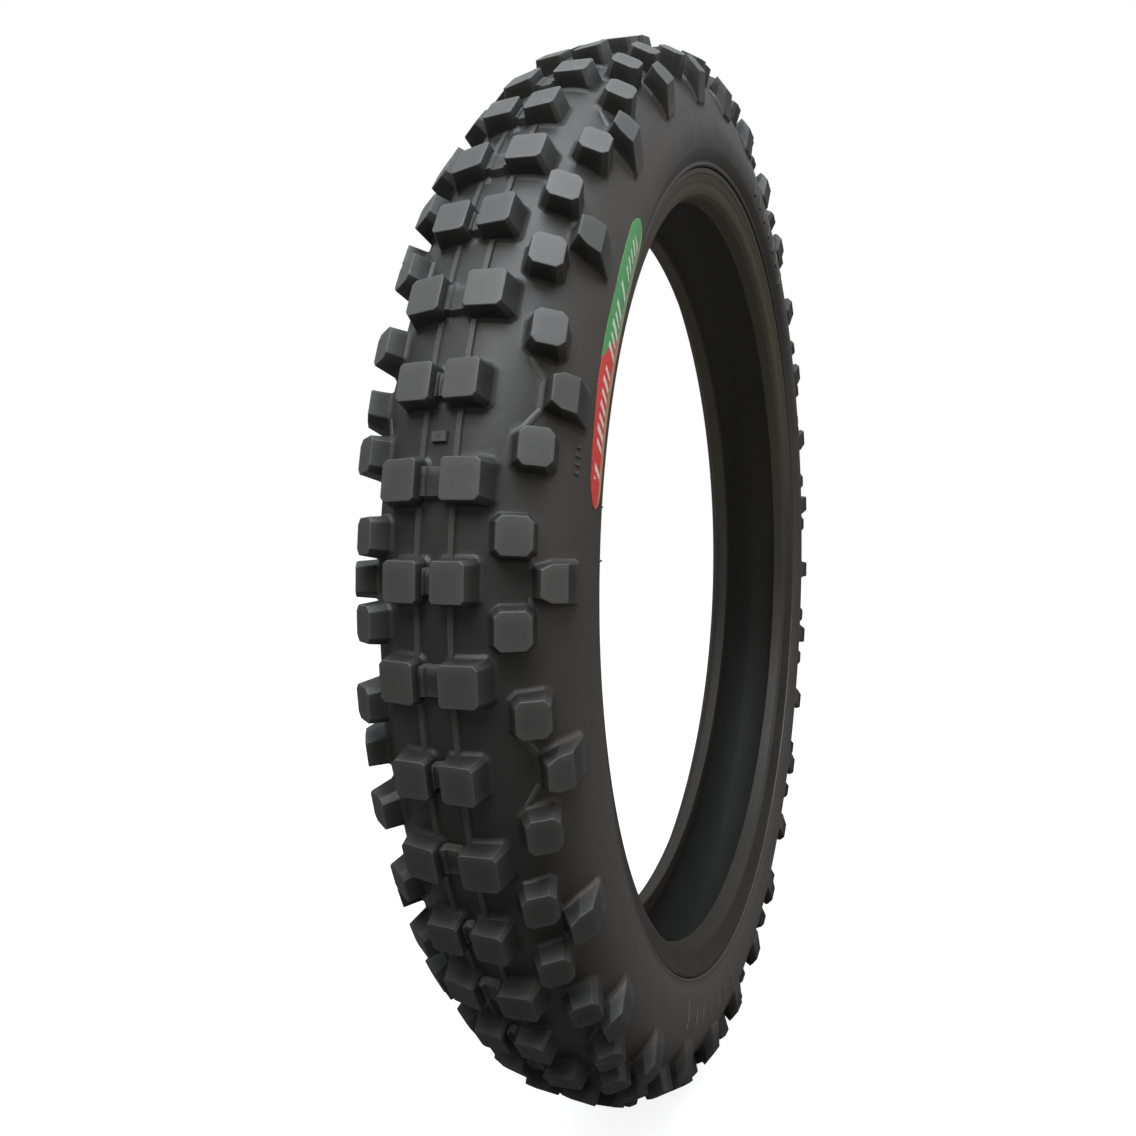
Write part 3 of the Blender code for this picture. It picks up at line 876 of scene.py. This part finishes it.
def build_label():
    """Thin printed band on the right sidewall."""
    n_along, n_across = 96, 8
    layers = ([], [])
    along, across = [], []
    for i in range(n_along + 1):
        # stations crowd towards the rounded ends
        share = 0.5 - 0.5 * math.cos(math.pi * i / n_along)
        degrees = LABEL_START + (LABEL_END - LABEL_START) * share
        outer = float(np.interp(degrees, *LABEL_OUTER))
        inner = float(np.interp(degrees, *LABEL_INNER))
        from_end = min(degrees - LABEL_START, LABEL_END - degrees) / LABEL_ROUNDING
        fill = math.sqrt(max(0.004, 1.0 - (1.0 - min(1.0, from_end)) ** 2))
        middle = (outer + inner) / 2 + (2.2 if degrees > 30.0 else 1.2) * (1.0 - fill)
        outer, inner = (middle + (edge - middle) * fill for edge in (outer, inner))
        for j in range(n_across + 1):
            down = j / n_across
            arc = FACE_P.arc_at_radius(outer + (inner - outer) * down)
            for layer, lift in zip(layers, LABEL_LIFTS):
                y, r = FACE_P.at(arc, lift)
                layer.append(ring_point(degrees / DEG_PER_ROW, -y, r))
            along.append(share)
            across.append(down)

    def index(start, i, j):
        return start + i * (n_across + 1) + j

    under = len(layers[0])
    faces = []
    for i in range(n_along):
        for j in range(n_across):
            quad = (index(0, i, j), index(0, i + 1, j), index(0, i + 1, j + 1), index(0, i, j + 1))
            faces += [quad, tuple(under + k for k in quad[::-1])]
    faces += join_rings(*(grid_rim(index, start, n_along, n_across) for start in (0, under)))
    label = make("wall_transfer", layers[0] + layers[1], faces, "transfer_ink",
                 {"along": along * 2, "across": across * 2})
    finish_mesh(label, sharp_angle=60.0)
    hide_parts("sidewall_label")


# ------------------------------------------------------------------ moulded marks and vent pips
MARK_SCALE = PITCH * 262.0               # length of one row where the marks stand


def build_marks():
    """Plain raised bars along both sidewalls."""
    batch = Batch()

    def bars(row, r, tall, width, side, count=1, gap=0.0):
        middle = FACE_P.arc_at_radius(r)
        for _ in range(count):
            batch.add(raised_patch((row, row + width / MARK_SCALE),
                                   (middle - tall / 2, middle + tall / 2), height=0.55,
                                   taper=0.25, cells=(2, 3), sink=0.3), mirror=side < 0)
            row += (width + gap) / MARK_SCALE

    for side in (-1, 1):
        for start in (-86.0, 94.0):
            # one tall bar after a run of shorter ones, placed in degrees
            for degrees in (0.4, 4.3, 8.1, 12.0, 15.9, 19.2):
                bars((start + degrees) / DEG_PER_ROW, r=261.2, tall=9.6, width=4.2, side=side)
            bars((start + 23.2) / DEG_PER_ROW, r=260.4, tall=14.0, width=5.2, side=side)
        bars(1.22, r=275.6, tall=2.6, width=1.7, side=side, count=4, gap=1.3)
        bars(23.0, r=262.0, tall=2.6, width=7.5, side=side, count=3, gap=3.0)
    marks = make("moulded_marks", batch.verts, batch.faces, "sidewall_rubber",
                 {"height": np.full(len(batch.verts), DETAIL_HEIGHT)})
    finish_mesh(marks, sharp_angle=42.0)
    return marks


def pip(row, r, side, length, radius, lean):
    """Short rubber vent pip standing on the sidewall."""
    arc = FACE_P.arc_at_radius(r)
    base = skin(row, arc, -0.3) * [1, side, 1]
    tip = skin(row, arc, length) * [1, side, 1]
    height = np.linalg.norm(tip - base)
    axis = (tip - base) / height
    reference = np.array([0.0, 0.0, 1.0]) if abs(axis[2]) < 0.8 else np.array([1.0, 0.0, 0.0])
    lean_way = np.cross(axis, reference)
    lean_way /= np.linalg.norm(lean_way)
    cross_way = np.cross(axis, lean_way)
    around = 8
    levels = ((0.0, 1.35), (0.25, 1.0), (0.8, 0.86), (1.0, 0.55))    # (share of height, of radius)
    verts = []
    for share, swell in levels:
        centre = base + axis * height * share + lean_way * lean * share * share * height
        for i in range(around):
            angle = TAU * i / around
            verts.append(centre + radius * swell * (math.cos(angle) * lean_way
                                                    + math.sin(angle) * cross_way))
    return tube(verts, around, len(levels))


def build_pips():
    draw = random.Random(11)
    batch = Batch()
    for k in range(PERIODS):
        for side in (-1, 1):
            row = PERIOD_ROWS * k + 1.0 + draw.uniform(-0.15, 0.15)
            r = draw.choice((256.0, 252.0))
            length = draw.uniform(0.3, 0.7)
            lean = draw.uniform(-0.3, 0.3)
            batch.add(pip(row, r, side, length, radius=0.34, lean=lean))
    # one longer pip on the right sidewall
    batch.add(pip(0.27, 254.5, -1, length=1.2, radius=0.45, lean=0.3))
    pips = make("vent_pips", batch.verts, batch.faces, "sidewall_rubber")
    finish_mesh(pips, sharp_angle=50.0)


# ------------------------------------------------------------------ shader graph
class Graph:
    """Short ways to add nodes to a shader tree; each returns the output socket."""

    def __init__(self, tree):
        self.tree = tree

    def feed(self, socket, value):
        """Link a socket, or set a plain value; colours may leave out their alpha."""
        if isinstance(value, bpy.types.NodeSocket):
            self.tree.links.new(value, socket)
        elif socket.type == "RGBA" and len(value) == 3:
            socket.default_value = (*value, 1.0)
        else:
            socket.default_value = value

    def node(self, kind, inputs=None, **settings):
        made = self.tree.nodes.new("ShaderNode" + kind)
        for key, value in settings.items():
            setattr(made, key, value)
        for key, value in (inputs or {}).items():
            self.feed(made.inputs[key], value)
        return made

    def coords(self, rotation=(0.0, 0.0, 0.0)):
        """Object coordinates in metres."""
        place = self.node("TexCoord").outputs["Object"]
        return self.node("Mapping", {"Vector": place, "Rotation": rotation}).outputs["Vector"]

    def axle_distance(self):
        place = self.node("TexCoord").outputs["Object"]
        flat = self.node("VectorMath", {0: place, 1: (1.0, 0.0, 1.0)}, operation="MULTIPLY")
        return self.node("VectorMath", {0: flat.outputs[0]}, operation="LENGTH").outputs["Value"]

    def z_of(self, vector):
        return self.node("SeparateXYZ", {0: vector}).outputs["Z"]

    def attribute(self, name):
        return self.node("Attribute", attribute_name=name).outputs["Fac"]

    def camera_ray(self):
        return self.node("LightPath").outputs["Is Camera Ray"]

    def noise(self, vector, scale, detail=4.0, roughness=0.55):
        inputs = {"Scale": scale, "Detail": detail, "Roughness": roughness, "Vector": vector}
        return self.node("TexNoise", inputs).outputs["Fac"]

    def ramp(self, factor, stops):
        """Colour ramp from (position, colour) stops in rising order."""
        made = self.node("ValToRGB", {"Fac": factor})
        elements = made.color_ramp.elements
        while len(elements) > 1:
            elements.remove(elements[-1])
        elements[0].position = stops[0][0]
        elements[0].color = (*stops[0][1], 1.0)
        for position, colour in stops[1:]:
            elements.new(position).color = (*colour, 1.0)
        return made.outputs["Color"]

    def mask(self, factor, start, end):
        """Black up to the start, white from the end."""
        return self.ramp(factor, [(start, (0, 0, 0)), (end, (1, 1, 1))])

    def math(self, operation, first, second=None, clamp=False):
        inputs = {0: first} if second is None else {0: first, 1: second}
        made = self.tree.nodes.new("ShaderNodeMath")
        made.operation = operation
        made.use_clamp = clamp
        for key, value in inputs.items():
            self.feed(made.inputs[key], value)
        return made.outputs[0]

    def times(self, first, second, clamp=False):
        return self.math("MULTIPLY", first, second, clamp)

    def plus(self, first, second, clamp=False):
        return self.math("ADD", first, second, clamp)

    def near(self, value, centre, reach):
        """1 where the value lies within reach of the centre."""
        away = self.math("ABSOLUTE", self.math("SUBTRACT", value, centre))
        return self.math("LESS_THAN", away, reach)

    def mix(self, factor, first, second):
        made = self.node("Mix", data_type="RGBA")
        sockets = {socket.identifier: socket for socket in made.inputs}
        self.feed(sockets["Factor_Float"], factor)
        self.feed(sockets["A_Color"], first)
        self.feed(sockets["B_Color"], second)
        return next(o for o in made.outputs if o.identifier == "Result_Color")

    def camera_mix(self, seen, other):
        """The colour the camera sees directly, and the one that lights the tyre."""
        return self.mix(self.camera_ray(), other, seen)

    def bump(self, height, strength, distance, normal=None):
        inputs = {"Strength": strength, "Distance": distance, "Height": height}
        if normal is not None:
            inputs["Normal"] = normal
        return self.node("Bump", inputs).outputs["Normal"]

    def blend(self, value, source, target):
        """Smooth step from one (start, end) range to another."""
        inputs = {"From Min": source[0], "From Max": source[1],
                  "To Min": target[0], "To Max": target[1], "Value": value}
        made = self.node("MapRange", inputs, interpolation_type="SMOOTHSTEP", clamp=True)
        return made.outputs["Result"]


class Look(Graph):
    """New material with one Principled shader."""

    def __init__(self, name):
        self.material = bpy.data.materials.new(name)
        self.material.use_nodes = True
        super().__init__(self.material.node_tree)
        self.tree.nodes.clear()
        out = self.node("OutputMaterial")
        self.shader = self.node("BsdfPrincipled")
        self.feed(out.inputs[0], self.shader.outputs[0])

    def set(self, key, value):
        self.feed(self.shader.inputs[key], value)


# ------------------------------------------------------------------ rubber
DUST = (0.105, 0.10, 0.09)
SCUFF_AND_TOP_LIGHT = (0.0640, 0.0630, 0.0612)         # block tops: scuffed, and painted lighter where the light falls on them
GROUND_SHADE = (0.0040, 0.0039, 0.0038)  # painted shade near the ground
BEAD_WARMTH = (0.056, 0.0450, 0.0360)    # browner rubber towards the beads


def brighter(colour, factor):
    return tuple(channel * factor for channel in colour)


def warm_to_beads(look, colour, warm, place, height):
    """Warmer and browner towards the beads, less so high up, and not on the blocks."""
    amount = look.blend(look.axle_distance(), source=(0.262, 0.300), target=(1.0, 0.0))
    upper = look.blend(look.z_of(place), source=(0.10, 0.27), target=(1.0, 0.40))
    amount = look.times(amount, upper)
    if height is not None:
        amount = look.times(amount, look.blend(height, source=(0.05, 0.5), target=(1.0, 0.0)))
    return look.mix(amount, colour, warm)


def scuff_and_highlight_blocks(look, colour, light, blotch, height, z):
    """Block tops painted paler than their walls, partly scuff and partly painted light that fades
    towards the lower tops, and paler edges that are a painted highlight, partly wear.
    """
    # paler block tops: part scuff, part painted light, strongest on the upper tops
    top = look.blend(height, source=(0.94, 1.0), target=(0.0, 0.8))
    scuff_and_light = look.plus(look.times(blotch, 0.5), 0.7)
    scuff_and_light = look.times(scuff_and_light, look.blend(z, source=(-0.24, 0.10), target=(0.12, 1.0)))
    colour = look.mix(look.times(top, scuff_and_light, clamp=True), colour, SCUFF_AND_TOP_LIGHT)
    # painted highlight along the convex block edges, partly wear
    edge = look.mask(look.node("NewGeometry").outputs["Pointiness"], start=0.505, end=0.56)
    edge = look.times(edge, look.blend(height, source=(0.08, 0.3), target=(0.0, 1.0)))
    edge_highlight_strength = 0.55
    return look.mix(look.times(edge, edge_highlight_strength), colour, brighter(light, 4.0))


def shade_towards_ground(look, colour, specular, z):
    """Painted shade towards the ground: the rubber is painted darker there and its specular is
    turned down.
    """
    low = look.times(look.blend(z, source=(-0.27, 0.03), target=(1.0, 0.0)),
                     look.blend(look.axle_distance(), source=(0.2715, 0.297), target=(0.0, 1.0)))
    sheen_loss, shade_strength = 0.28, 0.45
    look.set("Specular IOR Level", look.math("SUBTRACT", specular, look.times(low, sheen_loss)))
    # painted shade: darker rubber near the ground
    return look.mix(look.times(low, shade_strength), colour, GROUND_SHADE)


def rubber(name, dark, light, dust, roughness=(0.42, 0.60), specular=0.5, tread=False, warm=None,
           painted_lift=None):
    """Mottled rubber; dust is its share, warm a bead tint, and the last argument a paler colour
    painted onto the upper half, with a faint glow of it: painted light.
    """
    look = Look(name)
    place = look.coords()
    broad = look.noise(place, scale=7.0, detail=5.0, roughness=0.6)
    blotch = look.noise(place, scale=55.0, detail=4.0, roughness=0.6)
    fine = look.noise(place, scale=750.0, detail=3.0, roughness=0.6)
    micro = look.noise(place, scale=2600.0, detail=2.0, roughness=0.5)
    height = look.attribute("height") if tread else None
    look.set("Specular IOR Level", specular)

    colour = look.ramp(broad, [(0.3, dark), (0.72, light)])
    if warm:
        colour = warm_to_beads(look, colour, warm, place, height)
    blotch_strength = 0.30
    colour = look.mix(look.times(blotch, blotch_strength), colour, brighter(light, 1.45))
    if tread:
        z = look.z_of(place)
        colour = scuff_and_highlight_blocks(look, colour, light, blotch, height, z)
    # dust gathers in patches
    patches = look.mask(look.noise(place, scale=22.0, detail=6.0, roughness=0.7),
                        start=0.42, end=0.80)
    dusty = look.times(patches, dust)
    colour = look.mix(dusty, colour, DUST)
    # painted light: a faint glow, and the upper half painted paler
    if painted_lift:
        look.set("Emission Color", painted_lift)
        look.set("Emission Strength", 0.03)
        upper_lift = look.blend(look.z_of(place), source=(-0.05, 0.22), target=(0.0, 0.9))
        colour = look.mix(upper_lift, colour, painted_lift)
    # painted shade towards the ground
    if tread:
        colour = shade_towards_ground(look, colour, specular, z)
    look.set("Base Color", colour)

    smooth, rough = roughness
    dust_roughness = 0.3
    worn = look.plus(look.times(blotch, rough - smooth), smooth)
    look.set("Roughness", look.plus(worn, look.times(dusty, dust_roughness), clamp=True))

    normal = look.bump(blotch, strength=0.35, distance=0.0006)
    normal = look.bump(fine, strength=0.45, distance=0.0001, normal=normal)
    normal = look.bump(micro, strength=0.3, distance=0.00004, normal=normal)
    look.set("Normal", normal)
    return look.material


# ------------------------------------------------------------------ cord, steel and print
def cord(name, dark, light, angle):
    """Fabric of parallel cords running at an angle (degrees)."""
    look = Look(name)
    place = look.coords(rotation=(0.0, math.radians(angle), math.radians(angle * 0.6)))
    wave = look.node("TexWave", {"Scale": 180.0, "Distortion": 0.6, "Detail": 2.0,
                                 "Vector": place}).outputs["Fac"]
    grain = look.noise(place, scale=300.0, detail=3.0)
    colour = look.ramp(wave, [(0.2, dark), (0.8, light)])
    grain_strength = 0.3
    look.set("Base Color", look.mix(look.times(grain, grain_strength), colour, dark))
    roughness, roughness_spread = 0.7, 0.2
    look.set("Roughness", look.plus(look.times(grain, roughness_spread), roughness))
    look.set("Normal", look.bump(wave, strength=0.6, distance=0.0003))
    return look.material


def steel():
    look = Look("bead_steel_look")
    grain = look.noise(look.coords(), scale=400.0, detail=4.0)
    look.set("Base Color", look.ramp(grain, [(0.3, (0.30, 0.20, 0.11)), (0.7, (0.50, 0.36, 0.22))]))
    look.set("Metallic", 1.0)
    roughness, roughness_spread = 0.25, 0.25
    look.set("Roughness", look.plus(look.times(grain, roughness_spread), roughness))
    look.set("Normal", look.bump(grain, strength=0.2, distance=0.0001))
    return look.material


RED_INK = (0.66, 0.055, 0.045)
GREEN_INK = (0.075, 0.33, 0.105)
PALE_EDGE = (0.42, 0.41, 0.22)
STROKE_INK = (0.72, 0.70, 0.62)
WORN_INK = (0.08, 0.08, 0.075)


def pale_strokes(look, along, across):
    """Mask of slanted dashes of uneven width and height, some left out."""
    count, slant = 27.0, 1.5
    position = look.plus(look.times(along, count), look.times(across, slant))
    cell = look.math("FRACT", position)
    chance = look.node("TexWhiteNoise", {"W": look.math("FLOOR", position)},
                       noise_dimensions="1D").outputs["Value"]
    # half sizes: a least value and a random share on top
    half_width = look.plus(look.times(chance, 0.14), 0.14)
    half_height = look.plus(look.times(chance, 0.12), 0.15)
    in_width = look.near(cell, centre=0.5, reach=half_width)
    in_height = look.near(across, centre=0.48, reach=half_height)
    in_span = look.near(along, centre=0.50, reach=0.42)
    left_out_share = 0.12
    kept = look.math("GREATER_THAN", chance, left_out_share)
    return look.times(look.times(in_width, in_height), look.times(in_span, kept))


def transfer_print():
    """Band printed red at its start and green beyond, with a pale edge and pale strokes."""
    look = Look("transfer_print_look")
    along = look.attribute("along")
    across = look.attribute("across")
    place = look.coords()
    grain = look.noise(place, scale=700.0, detail=3.0)
    # the division between the two inks leans across the band and is a little ragged
    lean, ragged, division = -0.16, 0.006, 0.43
    edge = look.plus(look.plus(along, look.times(across, lean)), look.times(grain, ragged))
    colour = look.mix(look.math("GREATER_THAN", edge, division), RED_INK, GREEN_INK)
    # pale yellowish edge towards the bead
    pale_ragged = 0.12
    pale = look.blend(look.plus(across, look.times(grain, pale_ragged)),
                      source=(0.74, 0.86), target=(0.0, 0.8))
    colour = look.mix(pale, colour, PALE_EDGE)
    colour = look.mix(pale_strokes(look, along, across), colour, STROKE_INK)
    wear = look.mask(look.noise(place, scale=240.0, detail=6.0, roughness=0.7),
                     start=0.62, end=0.74)
    wear_strength = 0.5
    look.set("Base Color", look.mix(look.times(wear, wear_strength), colour, WORN_INK))
    roughness, roughness_spread = 0.32, 0.2
    look.set("Roughness", look.plus(look.times(grain, roughness_spread), roughness))
    look.set("Normal", look.bump(grain, strength=0.25, distance=0.00008))
    return look.material


OUTER_RUBBER = {"dark": (0.0122, 0.0119, 0.0115), "light": (0.0222, 0.0218, 0.0211),
                "dust": 0.13, "warm": BEAD_WARMTH}


def make_looks():
    """Materials by slot name, and the one of the moulded marks."""
    looks = {}
    looks["tread_rubber"] = rubber("tread_rubber_look", tread=True, **OUTER_RUBBER)
    looks["sidewall_rubber"] = rubber(
        "sidewall_rubber_look", roughness=(0.40, 0.56), **OUTER_RUBBER)
    # bead strip: upper half painted paler and glowing faintly, painted light
    looks["rim_strip_rubber"] = rubber(
        "bead_rubber_look", dark=(0.0120, 0.0106, 0.0090), light=(0.0175, 0.0155, 0.0130),
        dust=0.08, roughness=(0.46, 0.62), specular=0.38, painted_lift=(0.088, 0.071, 0.050))
    mark_look = rubber(
        "mark_rubber_look", dark=(0.044, 0.040, 0.034), light=(0.062, 0.056, 0.047),
        dust=0.35, roughness=(0.45, 0.60))
    # liner: upper half painted paler and glowing faintly, painted light on the dark inside
    looks["liner_rubber"] = rubber(
        "liner_rubber_look", dark=(0.0060, 0.0060, 0.0060), light=(0.0100, 0.0100, 0.0098),
        dust=0.06, roughness=(0.54, 0.70), specular=0.28, painted_lift=(0.120, 0.117, 0.108))
    looks["cushion_gum"] = rubber(
        "cushion_gum_look", dark=(0.050, 0.038, 0.030), light=(0.072, 0.055, 0.042),
        dust=0.1, roughness=(0.6, 0.8))
    looks["filler_rubber"] = rubber(
        "filler_rubber_look", dark=(0.020, 0.020, 0.020), light=(0.030, 0.030, 0.030),
        dust=0.1, roughness=(0.55, 0.75))
    looks["breaker_cord"] = cord(
        "breaker_cord_look", dark=(0.10, 0.085, 0.06), light=(0.24, 0.21, 0.15), angle=35.0)
    looks["ply_cord"] = cord(
        "ply_cord_look", dark=(0.13, 0.115, 0.085), light=(0.32, 0.29, 0.22), angle=50.0)
    looks["flipper_fabric"] = cord(
        "wrap_fabric_look", dark=(0.08, 0.075, 0.065), light=(0.18, 0.17, 0.15), angle=45.0)
    looks["bead_steel"] = steel()
    looks["transfer_ink"] = transfer_print()
    return looks, mark_look


def paint(ob, material):
    ob.data.materials.clear()
    ob.data.materials.append(material)


def paint_all(marks):
    """Materials for the new pieces and for those of the frame."""
    looks, mark_look = make_looks()
    for ob in list(bpy.context.scene.objects):
        if ob.type == "MESH" and "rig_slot" in ob:
            paint(ob, looks[ob["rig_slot"]])
    paint(marks, mark_look)
    slot_of = {part["node"]: part["material_slot"] for part in frame["record"]["subparts"]}
    for node, ob in frame["nodes"].items():
        for material_slot in ob.material_slots:
            material_slot.material = looks[slot_of[node]]


# ------------------------------------------------------------------ stage, light, camera (metres)
def build_floor():
    """Bright white paper that keeps a faint shadow and throws little light back up."""
    bm = bmesh.new()
    bmesh.ops.create_circle(bm, cap_ends=True, segments=96, radius=14.0)
    mesh = bpy.data.meshes.new("floor")
    bm.to_mesh(mesh)
    bm.free()
    floor = bpy.data.objects.new("floor", mesh)
    floor.location = (0, 0, CAD_LO.z - 0.0002)
    bpy.context.scene.collection.objects.link(floor)
    look = Look("floor_paper")
    look.set("Base Color", look.camera_mix(seen=(0.30, 0.30, 0.30), other=(0.16, 0.157, 0.152)))
    look.set("Roughness", 0.95)
    look.set("Specular IOR Level", 0.0)
    look.set("Emission Color", (1.0, 1.0, 1.0))
    camera_glow = 0.86
    look.set("Emission Strength", look.times(look.camera_ray(), camera_glow))
    mesh.materials.append(look.material)


def build_world():
    """Sky that brightens upwards; the camera sees plain white."""
    world = bpy.data.worlds.new("studio")
    bpy.context.scene.world = world
    world.use_nodes = True
    graph = Graph(world.node_tree)
    background = world.node_tree.nodes["Background"]
    z = graph.z_of(graph.node("TexCoord").outputs["Generated"])
    upward = graph.plus(graph.times(z, 0.5), 0.5)        # 0 straight down, 1 straight up
    stops = [(0.0, (0.030, 0.030, 0.030))]
    for position, grey in ((0.42, 0.035), (0.5, 0.055), (0.60, 0.18), (0.75, 0.62)):
        stops.append((position, (grey * 0.985, grey, grey * 1.03)))
    stops.append((1.0, (1.00, 1.05, 1.14)))
    sky = graph.ramp(upward, stops)
    graph.feed(background.inputs["Color"], graph.camera_mix(seen=(1.0, 1.0, 1.0), other=sky))
    background.inputs["Strength"].default_value = 1.0


def softbox(name, place, target, size, power, tint):
    """Square area light aimed at a target."""
    light = bpy.data.lights.new(name, "AREA")
    light.shape = "RECTANGLE"
    light.size = size
    light.size_y = size
    light.color = tint
    light.energy = power
    ob = bpy.data.objects.new(name, light)
    ob.location = place
    ob.rotation_mode = "QUATERNION"
    ob.rotation_quaternion = (Vector(target) - Vector(place)).to_track_quat("-Z", "Y")
    bpy.context.scene.collection.objects.link(ob)


def build_lights():
    softbox("softbox_top", place=(-0.75, -0.35, 1.55), target=(0, 0, 0.1), size=1.3,
            power=27.0, tint=(0.91, 0.955, 1.0))
    softbox("softbox_front", place=(-1.05, 0.0, 0.85), target=(-0.15, 0, 0.12), size=0.7,
            power=7.3, tint=(1.0, 0.985, 0.96))
    softbox("softbox_side", place=(-0.4, -1.9, 0.35), target=(0, 0, -0.08), size=1.0,
            power=5.2, tint=(1.0, 0.97, 0.93))


def build_camera():
    """Camera off the tread at -X, turned so that the right sidewall shows too."""
    camera = bpy.data.cameras.new("camera")
    ob = bpy.data.objects.new("camera", camera)
    bpy.context.scene.collection.objects.link(ob)
    right = (0.40702, -0.91336, 0.01063)
    up = (0.00726, 0.01487, 0.99986)
    back = (-0.91339, -0.40689, 0.01269)
    pose = Matrix((right, up, back)).transposed().to_4x4()
    pose.translation = Vector((-0.53354, -0.15308, 0.00873))
    ob.matrix_world = pose
    camera.type = "PERSP"
    camera.sensor_fit = "HORIZONTAL"
    camera.sensor_width = 36.0
    camera.lens = 25.667746
    camera.clip_start = 0.01
    camera.clip_end = 50.0
    bpy.context.scene.camera = ob
    bpy.context.scene.view_settings.view_transform = "Standard"


# ------------------------------------------------------------------ build
build_tread()
build_tread_details()
build_sidewalls()
build_rim_strips()
build_sheets()
build_inner_ply_and_liner()
build_beads()
build_label()
moulded_marks = build_marks()
build_pips()
paint_all(moulded_marks)
build_floor()
build_world()
build_lights()
build_camera()
